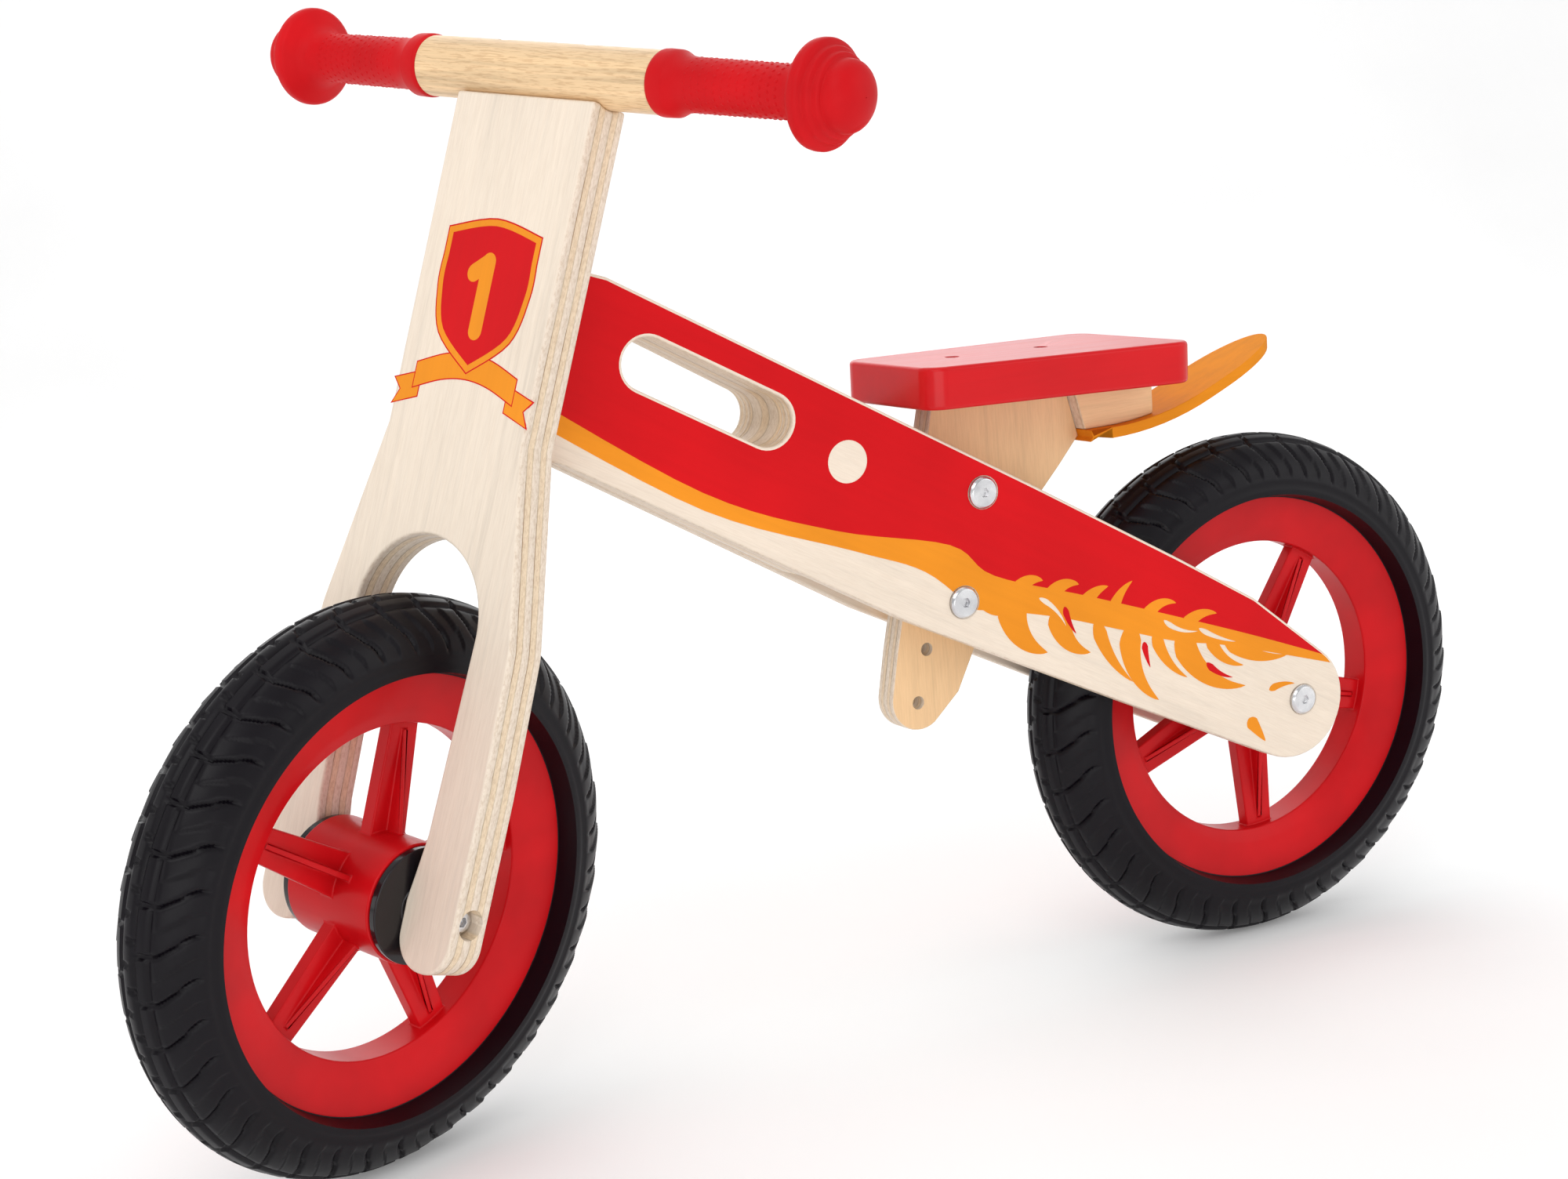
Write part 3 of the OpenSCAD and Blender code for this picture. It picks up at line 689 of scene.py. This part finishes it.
def stroke(a, b, r):
    """A bar with round ends from a to b."""
    a, b = Vector(a), Vector(b)
    heading = math.atan2(b.y - a.y, b.x - a.x)
    out = []
    for mid, start in ((b, heading - math.pi / 2), (a, heading + math.pi / 2)):
        out += [(mid.x + r * math.cos(start + math.pi * k / 10),
                 mid.y + r * math.sin(start + math.pi * k / 10)) for k in range(11)]
    return in_mm(out)


# The red line round the ribbon, and the numeral's half width, in millimetres.
RIBBON_LINE, NUMERAL_R = 0.6, 4.4
plate_area = in_mm([(-60, 200), (60, 200), (60, 360), (-60, 360)])
plate_regions = []
for strip in (ribbon_end(1), ribbon_end(-1), ribbon()):
    plate_regions += [(grow(strip, RIBBON_LINE * MM), red_paint), (strip, orange_paint)]
plate_regions += [(shield(0.7), red_paint), (shield(0), orange_paint), (shield(-3), red_paint),
                  (stroke((0, 271), (0, 304), NUMERAL_R), orange_paint),
                  (stroke((-8.5, 298), (-1, 303), NUMERAL_R), orange_paint)]
paint("race_plate_paint", plate_area, [], plate_regions, on_board, fork_ahead, board_frame, "fork",
      "birch_plywood")


# ---- wheels ----

low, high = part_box("rear_tyre")
TYRE_R = (high.x - low.x) / 2
TYRE_HALF = (high.y - low.y) / 2
RIM_EDGE_R = 110 * MM
RIM_EDGE_HALF = 16 * MM
TYRE_BASE_R = 112 * MM
# Tread pitches round the tyre, and the mesh's steps round it and across it.
PITCHES = 38
AROUND, ACROSS = PITCHES * 24, 56


def smoothstep(x, a, b):
    t = np.clip((x - a) / (b - a), 0, 1)
    return t * t * (3 - 2 * t)


def groove(distance, width):
    """1 in the middle of a groove, 0 from half its width on."""
    return 1 - smoothstep(np.abs(distance), width * 0.25, width * 0.5)


def tyre(node, place):
    """Foam tyre: staggered blocks on its crown and overlapping curved lugs on its shoulders."""
    turns = np.linspace(0, PITCHES, AROUND, endpoint=False)[:, None]
    slope = np.linspace(-90, 90, ACROSS + 1)[None, :]
    bend = np.abs(slope)
    stagger = np.where(slope > 0, 0.5, 0.0)
    pitch_mm = 2 * math.pi * TYRE_R / MM / PITCHES
    saw = (turns + stagger + 0.5 * smoothstep(bend, 26, 72)) % 1.0
    lug = smoothstep(bend, 24, 30) * (1 - smoothstep(bend, 66, 74))
    cut = groove((saw - 0.5) * pitch_mm, 2.6) * 1.6 + (1 - saw) * 1.1
    depth = lug * cut
    crown = 1 - smoothstep(bend, 24, 30)
    block = (turns + np.where(bend < 9, 0.25, 0.0) + stagger) % 1.0
    depth = depth + crown * groove((block - 0.5) * pitch_mm, 3.4) * 1.8
    depth = np.maximum(depth, groove(bend - 9, 6) * 1.5 + 0 * turns)
    depth = np.maximum(depth, groove(bend - 27, 5) * 1.4 + 0 * turns)
    depth = np.maximum(depth, groove(bend - 80, 6) * 0.7 + 0 * turns)
    rise, rad = TYRE_R - TYRE_BASE_R, np.radians(slope)
    r = TYRE_BASE_R + (rise - depth * MM) * np.cos(rad)
    y = (TYRE_HALF - depth * MM) * np.sin(rad)
    a = turns / PITCHES * 2 * math.pi
    grid = np.stack([r * np.sin(a), y, r * np.cos(a)], -1)
    # The foot of the section, which stands in the rim.
    foot = [(RIM_EDGE_R, RIM_EDGE_HALF), (104 * MM, 13 * MM), (104 * MM, -13 * MM),
            (RIM_EDGE_R, -RIM_EDGE_HALF)]
    under = np.stack([np.stack([fr * np.sin(a[:, 0]), np.full(AROUND, fy),
                                fr * np.cos(a[:, 0])], -1) for fr, fy in foot], 1)
    full = np.concatenate([grid, under], 1)
    n = full.shape[1]
    faces = [(i * n + k, i * n + (k + 1) % n, (i + 1) % AROUND * n + (k + 1) % n,
              (i + 1) % AROUND * n + k) for i in range(AROUND) for k in range(n)]
    mesh = build_mesh(node + "_treaded", full.reshape(-1, 3).tolist(), faces, [tyre_black],
                      angle=50)
    finish_piece(node + "_treaded", mesh, place, body_of[node], slot_of[node], node)


tyre("rear_tyre", rear_frame)
tyre("front_tyre", front_frame)
for wheel, place in (("rear", rear_frame), ("front", front_frame)):
    dress(wheel + "_rim", rim_red, place, bevel=0.9, min_span=18)
    dress(wheel + "_wheel_spacers", gloss_black, place, bevel=0.7, min_span=10)
    dress(wheel + "_wheel_bushes", nylon_white, place, bevel=0.2, steps=2, min_span=10)


# ---- grips ----

bar_heights = [v.co.dot(steer_up) for v in nodes["handlebar_dowel"].data.vertices]
bar_rise = (min(bar_heights) + max(bar_heights)) / 2 - steer_up.dot(front_axle)
bar_frame = axes_frame(front_axle + steer_up * bar_rise, fork_ahead, fork_across, steer_up)
# Radius and distance from the middle of the bar, in millimetres.
CORE_R = 9.0
GRIP_START, GRIP_END, CORE_END = 76.6, 192, 186.1
GRIP_SHAPE = [(CORE_R, GRIP_START), (14.4, GRIP_START), (15.2, 77.6), (15.3, 79), (15.1, 85.5), (14.4, 87),
              (12.9, 90.5), (12.3, 95), (11.9, 154), (12.4, 157.5), (13.6, 160.5), (17.5, 163.6),
              (22.4, 165.6), (23.8, 166.8), (24.1, 168.4), (24.1, 170.6), (23.7, 171.8),
              (22.8, 172.5), (21.2, 173.1), (20.8, 173.7), (20.8, 175.4), (20.3, 176.1),
              (18.8, 176.7), (18.4, 177.3), (18.4, 179), (17.9, 179.7), (16.4, 180.2), (16, 181)]
DOME_R, DOME_START = 16, 182
# Small raised dots round the tube: rows, dots in a row, place of the first row and its radius.
DOT_ROWS, DOTS_ROUND, DOT_START, DOT_PITCH, DOT_TUBE_R, TUBE_TAPER = 13, 22, 98, 4.4, 12.05, 0.004
DOT_SHAPE = ((0.95, -0.4), (0.85, 0.2), (0.5, 0.42))


def grip(node, side):
    """Collar, tube with raised dots, stepped bell flange and domed end, lathed round the bar."""
    dome = [(DOME_R * math.cos(a), DOME_START + (GRIP_END - DOME_START) * math.sin(a))
            for a in (math.radians(d) for d in range(0, 90, 9))]
    shape = GRIP_SHAPE + dome + [(0.3, GRIP_END), (0.3, CORE_END), (CORE_R, CORE_END)]
    verts, faces = turn([(r * MM, y * MM * side) for r, y in shape], 96)
    for row in range(DOT_ROWS):
        for k in range(DOTS_ROUND):
            a = 2 * math.pi * (k + 0.5 * (row % 2)) / DOTS_ROUND
            y = DOT_START + row * DOT_PITCH
            out = Vector((math.sin(a), 0, math.cos(a)))
            along = Vector((out.z, 0, -out.x))
            tube_r = DOT_TUBE_R - (y - DOT_START) * TUBE_TAPER
            mid = out * tube_r * MM + Vector((0, y * MM * side, 0))
            start = len(verts)
            for r, h in DOT_SHAPE:
                for j in range(8):
                    b = j * math.pi / 4
                    verts.append(tuple(mid + out * h * MM + along * r * MM * math.cos(b)
                                       + Vector((0, r * MM * math.sin(b), 0))))
            for lev in (0, 8):
                faces += [(start + lev + j, start + lev + (j + 1) % 8,
                           start + lev + 8 + (j + 1) % 8, start + lev + 8 + j) for j in range(8)]
            faces.append(tuple(start + 16 + j for j in range(8)))
            faces.append(tuple(start + j for j in reversed(range(8))))
    mesh = build_mesh(node + "_dotted", verts, faces, [grip_red], angle=40)
    finish_piece(node + "_dotted", mesh, bar_frame, body_of[node], slot_of[node], node)


grip("left_grip", 1)
grip("right_grip", -1)


# ---- hardware ----

for node in ("seat_screws", "tail_screws", "seat_post_bolts", "seat_post_cap_nuts",
             "rear_axle_bolt", "rear_axle_cap_nut"):
    dress(node, plated, level, bevel=0.35, min_span=7)
for node in ("steering_bracket", "steering_bolt", "steering_lock_nut", "bracket_screws",
             "handlebar_bolts", "handlebar_barrel_nuts", "front_axle_bolt",
             "front_axle_cap_nut"):
    dress(node, plated, fork_frame, bevel=0.3, min_span=7)
dress("steering_bushes", nylon_white, level, bevel=0.2, steps=2, min_span=7)


# ---- studio ----

def stage_material():
    m = Nodes("studio_paper", rough=0.9, shine=0.0)
    m.shader.inputs["Emission Color"].default_value = (1, 1, 1, 1)
    m.shader.inputs["Emission Strength"].default_value = 0.12
    m.colour(m.ramp(m.noise((3, 3, 3), 2), [(0.3, (0.90, 0.90, 0.90)), (0.7, (0.93, 0.93, 0.93))]))
    return m.mat


def sweep():
    """Floor that curves up into a backdrop behind the bike, seen from the camera."""
    near, far, radius, high, half_width = -6.0, 3.2, 1.2, 4.0, 9.0
    path = [(near, 0.0), (far - radius, 0.0)]
    path += [(far - radius + radius * math.sin(a), radius - radius * math.cos(a))
             for a in (math.pi / 2 * i / 16 for i in range(1, 17))]
    path.append((far, high))
    verts = [(s, d, z) for d, z in path for s in (-half_width, half_width)]
    faces = [(2 * i, 2 * i + 1, 2 * i + 3, 2 * i + 2) for i in range(len(path) - 1)]
    mesh = bpy.data.meshes.new("studio_sweep")
    mesh.from_pydata(verts, [], faces)
    mesh.materials.append(stage_material())
    mesh.shade_smooth()
    obj = bpy.data.objects.new("studio_sweep", mesh)
    bpy.context.scene.collection.objects.link(obj)
    return obj


# The camera's place, and the angles in degrees from which it looks at the bike.
CAMERA_AT = Vector((0.668, 1.144, 0.503))
AZIMUTH, ELEVATION, ROLL = (math.radians(a) for a in (63.93, 13.61, -5.12))
camera_back = Vector((math.cos(ELEVATION) * math.cos(AZIMUTH),
                      math.cos(ELEVATION) * math.sin(AZIMUTH), math.sin(ELEVATION)))
level_right = UP.cross(camera_back).normalized()
level_up = camera_back.cross(level_right)
camera_right = level_right * math.cos(ROLL) + level_up * math.sin(ROLL)
camera_up = level_up * math.cos(ROLL) - level_right * math.sin(ROLL)

paper = sweep()
paper.matrix_world = Matrix.Rotation(AZIMUTH + math.pi / 2, 4, "Z")
# A hair below the tyres, so that the two never share a surface.
paper.location.z = -0.5 * MM


def lamp(name, at, aim, size, power):
    data = bpy.data.lights.new(name, "AREA")
    data.shape = "RECTANGLE"
    data.size, data.size_y = size
    data.energy = power
    obj = bpy.data.objects.new(name, data)
    bpy.context.scene.collection.objects.link(obj)
    obj.location = at
    obj.rotation_euler = (Vector(aim) - Vector(at)).to_track_quat("-Z", "Y").to_euler()


middle = (0, 0, 0.28)
# Name, place, aim, size and power in watts.
for name, at, aim, size, power in (
        ("key", (1.3, 1.5, 1.9), middle, (1.6, 1.2), 13.5),
        ("fill", (-1.8, 1.5, 1.0), middle, (1.8, 1.4), 8),
        ("low_fill", (0.9, 1.9, 0.3), (0, 0, 0.2), (1.8, 0.5), 6),
        ("front_fill", (2.2, -0.4, 0.9), middle, (1.4, 1.4), 5),
        ("overhead", (0, -0.2, 2.6), middle, (2.6, 2.0), 11),
        ("back", (-0.6, -2.0, 1.3), middle, (2.0, 1.2), 8),
        ("backdrop", (-0.6, -1.3, 2.4), (-1.3, -2.6, 0.9), (2.6, 0.6), 12)):
    lamp(name, at, aim, size, power)

world = bpy.data.worlds.new("studio_world")
bpy.context.scene.world = world
world.use_nodes = True
world.node_tree.nodes["Background"].inputs["Color"].default_value = (1, 1, 1, 1)
world.node_tree.nodes["Background"].inputs["Strength"].default_value = 0.60
bpy.context.scene.view_settings.view_transform = "Standard"

camera_data = bpy.data.cameras.new("camera")
camera_data.lens = 59.5
camera_data.sensor_width = 36
camera_data.shift_x = 0.073
camera_data.shift_y = 0.086
camera = bpy.data.objects.new("camera", camera_data)
bpy.context.scene.collection.objects.link(camera)
camera.matrix_world = axes_frame(CAMERA_AT, camera_right, camera_up, camera_back)
bpy.context.scene.camera = camera
